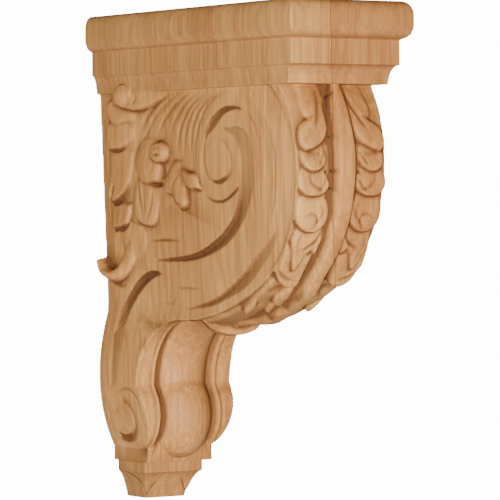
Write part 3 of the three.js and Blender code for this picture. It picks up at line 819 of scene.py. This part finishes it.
def mark_hollows(mesh, side, ribbon):
    """Stores at each vertex how dark it is painted: painted shade in cuts and hollows, and some plain
    parts a little darker.
    """
    places = np.empty(len(mesh.vertices) * 3, np.float32)
    mesh.vertices.foreach_get("co", places)
    x, y, z = places.reshape(-1, 3).T * PER_METRE
    front, drop = -y, HEIGHT / 2 - z
    away, along = outline_field(front, drop)
    from_side = np.abs(half_width(drop) + side.sample(front, drop) - np.abs(x))
    from_front = np.abs(ribbon.sample(along, x) - away)
    on_side = side.sample(front, drop, side.hollows()) * np.clip(2.5 - from_side, 0, 1)
    on_front = ribbon.sample(along, x, ribbon.hollows()) * np.clip(2.5 - from_front, 0, 1)
    hollow = np.where(from_side < from_front, on_side, on_front)
    hollow = hollow * (drop > CAP_DROP - 0.5) * (drop < FOOT_FACES)
    foot_side, foot_front = foot_leaf()
    corner = np.abs(np.abs(x) - TIP_HALF) < np.abs(front - TIP_FRONT)
    at_foot = np.where(corner, foot_side.sample(front, drop, foot_side.dark),
                       foot_front.sample(x, drop, foot_front.dark))
    hollow = np.where(drop > CORNER_DROP, at_foot, hollow)
    # Painted a little darker on the sides of the cap, its front right half, the foot and beside the wall.
    in_cap, in_foot = drop < CAP_DROP, drop > FOOT_FACES
    sides = np.abs(x) > np.where(in_foot, TIP_HALF + np.clip(front - TIP_FRONT, 0, 9), CAP_SIDES)
    darker_parts = np.maximum(0.16 * in_cap * sides, 0.2 * in_foot * (1 + sides))
    darker_parts = np.maximum(darker_parts, 0.2 * in_cap * (front > 200) * (x > 8))
    darker_parts = np.maximum(darker_parts, 0.16 * (front < 9) * (drop > CAP_DROP))
    hollow = np.where(front < 0.3, 0, np.maximum(hollow, darker_parts))      # the flat back has none
    layer = mesh.attributes.new("hollow", "FLOAT", "POINT")
    layer.data.foreach_set("value", hollow.astype(np.float32))


def carved_corbel():
    side, ribbon = side_relief(), front_relief()
    piece = bpy.data.objects.new("carved_corbel_fine", carved_mesh(side, ribbon))
    bpy.context.scene.collection.objects.link(piece)
    thin = piece.modifiers.new("thin", "DECIMATE")
    thin.ratio = min(1.0, MOST_TRIANGLES / (2 * len(piece.data.polygons)))
    applied(piece)
    for polygon in piece.data.polygons:
        polygon.use_smooth = True
    # Wide flat triangles beside small ones shade evenly when large faces count for more.
    piece.data.set_sharp_from_angle(angle=math.radians(SHARP_ANGLE))
    even = piece.modifiers.new("even", "WEIGHTED_NORMAL")
    even.keep_sharp = True
    applied(piece)
    mark_hollows(piece.data, side, ribbon)
    return piece


# Wood. Lengths here are in metres, as the shader sees them, except the widths of the grain.

JOINT_SLANT = 0.742
JOINT_OFFSET = 0.1714
JOINT_FROM = 0.15          # the joint shows only in front of this
JOINT_WIDTH = 0.0005       # half the width of the dark line
BACK_JOINT = 0.019
BACK_JOINT_WIDTH = 0.0004
CAP_BOTTOM = 0.113
BOARD_SHIFT = 0.37
RINGS = 26.0
PORE_DEPTH = 0.0004

def linear(code):
    """A scene colour from its sRGB hex code."""
    parts = [int(code[i:i + 2], 16) / 255 for i in (1, 3, 5)]
    return tuple(p / 12.92 if p <= 0.04045 else ((p + 0.055) / 1.055) ** 2.4 for p in parts) + (1.0,)


def add(tree, kind, inputs=None, **settings):
    """A node with its settings made and its inputs linked or set."""
    node = tree.nodes.new(kind)
    for name, value in settings.items():
        setattr(node, name, value)
    for name, value in (inputs or {}).items():
        socket = node.inputs[name]
        if isinstance(value, bpy.types.NodeSocket):
            tree.links.new(value, socket)
        else:
            socket.default_value = value
    return node


def number(tree, operation, *values):
    """The output of a math node over numbers and sockets."""
    return add(tree, "ShaderNodeMath", dict(enumerate(values)), operation=operation).outputs[0]


def blend(tree, share, first, second):
    return add(tree, "ShaderNodeMixRGB", {"Fac": share, "Color1": first, "Color2": second}).outputs[0]


def near_zero(tree, value, reach):
    """1 where the value is 0, falling to 0 at the reach on both sides."""
    size = number(tree, "ABSOLUTE", value)
    return add(tree, "ShaderNodeMapRange", {"Value": size, "From Min": 0.0, "From Max": reach,
                                            "To Min": 1.0, "To Max": 0.0}).outputs[0]


def boards(tree, place):
    """Whether a place is in the front right board, and how near it is to a glue joint.

    The joint in front runs down the cap and the belly and slants back: x + JOINT_SLANT * front
    is JOINT_OFFSET along it. The other is in the cap alone, BACK_JOINT out from the wall."""
    split = add(tree, "ShaderNodeSeparateXYZ", {"Vector": place})
    slant = number(tree, "MULTIPLY_ADD", split.outputs["Y"], -JOINT_SLANT, -JOINT_OFFSET)
    across = number(tree, "ADD", split.outputs["X"], slant)
    forward = number(tree, "LESS_THAN", split.outputs["Y"], -JOINT_FROM)
    joint = number(tree, "MULTIPLY", near_zero(tree, across, JOINT_WIDTH), forward)
    behind = number(tree, "ADD", split.outputs["Y"], BACK_JOINT)
    high = number(tree, "GREATER_THAN", split.outputs["Z"], CAP_BOTTOM)
    back = number(tree, "MULTIPLY", near_zero(tree, behind, BACK_JOINT_WIDTH), high)
    right = number(tree, "GREATER_THAN", across, 0.0)
    return right, number(tree, "MAXIMUM", joint, back)


def grain(tree, place, width, length, detail):
    """Noise whose patches are width mm wide and length mm long, up the piece."""
    drawn = add(tree, "ShaderNodeMapping", {"Vector": place, "Scale": (1.0, 1.0, width / length)})
    return add(tree, "ShaderNodeTexNoise", {"Vector": drawn.outputs["Vector"], "Detail": detail,
                                            "Scale": PER_METRE / width}).outputs["Fac"]


def ranged(tree, value, low, high, most):
    """0 below low, most above high, even in between."""
    return add(tree, "ShaderNodeMapRange", {"Value": value, "From Min": low, "From Max": high,
                                            "To Min": 0.0, "To Max": most}).outputs[0]


def wood():
    """Cherry, planed and sanded on its faces and left from the gouge in its cuts.

    It gives the eye warm tan faces with soft upright streaks and a faint sheen, and dull red brown
    cuts darkened by painted shade, which read as deep even in soft light."""
    material = bpy.data.materials.new("sanded cherry, hand carved")
    material.use_nodes = True
    tree = material.node_tree
    tree.nodes.clear()
    coordinates = add(tree, "ShaderNodeTexCoord")
    place = coordinates.outputs["Object"]
    right, joint = boards(tree, place)
    # The front right board shows another part of the grain, BOARD_SHIFT away.
    shift = add(tree, "ShaderNodeCombineXYZ", {"X": number(tree, "MULTIPLY", right, BOARD_SHIFT)})
    moved = add(tree, "ShaderNodeVectorMath", {0: place, 1: shift.outputs["Vector"]},
                operation="ADD").outputs["Vector"]
    broad = grain(tree, moved, 41.67, 260.4, 2.0)
    figure = grain(tree, moved, 58.82, 490.2, 1.0)
    # Real pores are 0.1 to 0.3 mm wide. A pixel covers 0.7 mm, so both are drawn coarser.
    fine = grain(tree, moved, 1.111, 37.03, 3.0)
    streaks = grain(tree, moved, 3.03, 151.5, 1.0)
    # Growth rings show as thin darker lines, closed into arches where the cut runs along
    # them. RINGS sets them some 6 mm apart; real ones are 2 to 4 mm, drawn coarser to show.
    rings = number(tree, "PINGPONG", number(tree, "MULTIPLY", figure, RINGS), 0.5)
    line = near_zero(tree, rings, 0.22)
    tone = number(tree, "MULTIPLY_ADD", broad, 0.45, number(tree, "MULTIPLY", fine, 0.3))
    tone = number(tree, "MULTIPLY_ADD", streaks, 0.25, tone)
    pores = near_zero(tree, number(tree, "SUBTRACT", streaks, 0.56), 0.025)
    ramp = add(tree, "ShaderNodeValToRGB", {"Fac": tone})
    dark_end, light_end = ramp.color_ramp.elements
    dark_end.position, dark_end.color = 0.3, linear("#9c6130")
    light_end.position, light_end.color = 0.7, linear("#e4b06a")
    # Faces that look up or down are painted darker and redder: partly end grain, partly painted shade
    # where less light reaches them.
    facing = add(tree, "ShaderNodeSeparateXYZ", {"Vector": coordinates.outputs["Normal"]})
    level = ranged(tree, number(tree, "ABSOLUTE", facing.outputs["Z"]), 0.5, 1.0, 0.4)
    # The cuts are painted darker too, as painted shade, and the bottom of an open crack nearly black, as
    # painted shadow.
    hollow = add(tree, "ShaderNodeAttribute", attribute_name="hollow").outputs["Fac"]
    cut = number(tree, "MINIMUM", number(tree, "MULTIPLY", hollow, 1.3), 1.0)
    gap = ranged(tree, hollow, 1.0, 1.5, 0.9)
    colour = ramp.outputs["Color"]
    for share, most, code in ((line, 0.3, "#8c5a30"), (pores, 0.28, "#7c4a24"), (right, 0.2, "#a25f32"),
                              (level, 1.0, "#7a4420"), (cut, 0.84, "#4f2812"), (gap, 1.0, "#1a0c05"),
                              (joint, 0.75, "#4a2410")):
        colour = blend(tree, number(tree, "MULTIPLY", share, most), colour, linear(code))
    # Sanded faces catch a soft light; the cuts are rougher and stay dull.
    dull = number(tree, "MULTIPLY_ADD", cut, 0.35, 0.55)
    bump = add(tree, "ShaderNodeBump", {"Height": fine, "Strength": 0.1, "Distance": PORE_DEPTH})
    shader = add(tree, "ShaderNodeBsdfPrincipled", {
        "Base Color": colour, "Roughness": dull, "Specular IOR Level": 0.3,
        "Normal": bump.outputs["Normal"]})
    add(tree, "ShaderNodeOutputMaterial", {"Surface": shader.outputs["BSDF"]})
    return material


def plain(name, code, roughness=0.9):
    material = bpy.data.materials.new(name)
    material.use_nodes = True
    shader = material.node_tree.nodes["Principled BSDF"]
    shader.inputs["Base Color"].default_value = linear(code)
    shader.inputs["Roughness"].default_value = roughness
    return material


# Camera, floor and light.

WORLD_LIGHT = 0.07
WHITE_BEHIND = 14.0
FLOOR_HEIGHT = -0.62
LIT = Vector((0, -0.1, 0))

# Solved from the edges of the cap and the outline in the photograph.
CAMERA_PLACE = Vector((-1.21852, -2.00956, 0.03677))
CAMERA_AIM = Vector((0.00475, -0.12588, 0.00564))
CAMERA_ROLL = -0.00616
FOCAL_PIXELS = 3391.08
FRAME_PIXELS = 500


def camera():
    data = bpy.data.cameras.new("photograph")
    data.lens = FOCAL_PIXELS / FRAME_PIXELS * data.sensor_width
    data.clip_start = 0.05
    view = bpy.data.objects.new("photograph", data)
    bpy.context.scene.collection.objects.link(view)
    ahead = (CAMERA_AIM - CAMERA_PLACE).normalized()
    right = ahead.cross(Vector((0, 0, 1))).normalized()
    up = right.cross(ahead)
    c, s = math.cos(CAMERA_ROLL), math.sin(CAMERA_ROLL)
    x_axis = c * right + s * up
    y_axis = -s * right + c * up
    z_axis = -ahead
    rows = [[x_axis[i], y_axis[i], z_axis[i], CAMERA_PLACE[i]] for i in range(3)]
    view.matrix_world = Matrix(rows + [[0, 0, 0, 1]])
    bpy.context.scene.camera = view


def area_light(name, place, size, watts, colour="#ffffff"):
    """A square lamp that points at the middle of the piece."""
    data = bpy.data.lights.new(name, "AREA")
    data.color = linear(colour)[:3]
    data.size = size
    data.energy = watts
    lamp = bpy.data.objects.new(name, data)
    bpy.context.scene.collection.objects.link(lamp)
    lamp.location = place
    lamp.rotation_euler = (LIT - Vector(place)).to_track_quat("-Z", "Y").to_euler()


def studio_world():
    """Dim light all round, with white behind the piece where the camera sees past it."""
    world = bpy.data.worlds.new("studio")
    world.use_nodes = True
    tree = world.node_tree
    tree.nodes.clear()
    light = add(tree, "ShaderNodeBackground", {"Color": linear("#ffffff"), "Strength": WORLD_LIGHT})
    white = add(tree, "ShaderNodeBackground", {"Color": linear("#ffffff"), "Strength": WHITE_BEHIND})
    seen = add(tree, "ShaderNodeLightPath").outputs["Is Camera Ray"]
    mix = add(tree, "ShaderNodeMixShader", {0: seen, 1: light.outputs[0], 2: white.outputs[0]})
    add(tree, "ShaderNodeOutputWorld", {"Surface": mix.outputs[0]})
    bpy.context.scene.world = world


def surroundings():
    bpy.ops.mesh.primitive_plane_add(size=3.6, location=(0, 0, FLOOR_HEIGHT))
    floor = bpy.context.object
    floor.name = "floor"
    floor.data.materials.append(plain("white studio floor", "#f7f6f4"))
    studio_world()
    area_light("soft key", (-1.75, -2.3, -0.1), 0.45, 129, "#fff9f1")
    area_light("front fill", (0.2, -2.9, 0.1), 1.4, 23, "#ffe8cc")
    area_light("light behind", (1.7, 2.4, 0.3), 1.4, 60)
    area_light("light off the floor", (-0.5, -1.3, FLOOR_HEIGHT + 0.01), 1.2, 4.5)


piece = carved_corbel()
piece.data.materials.append(wood())
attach(piece, "root")
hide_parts("carved_corbel")
camera()
surroundings()
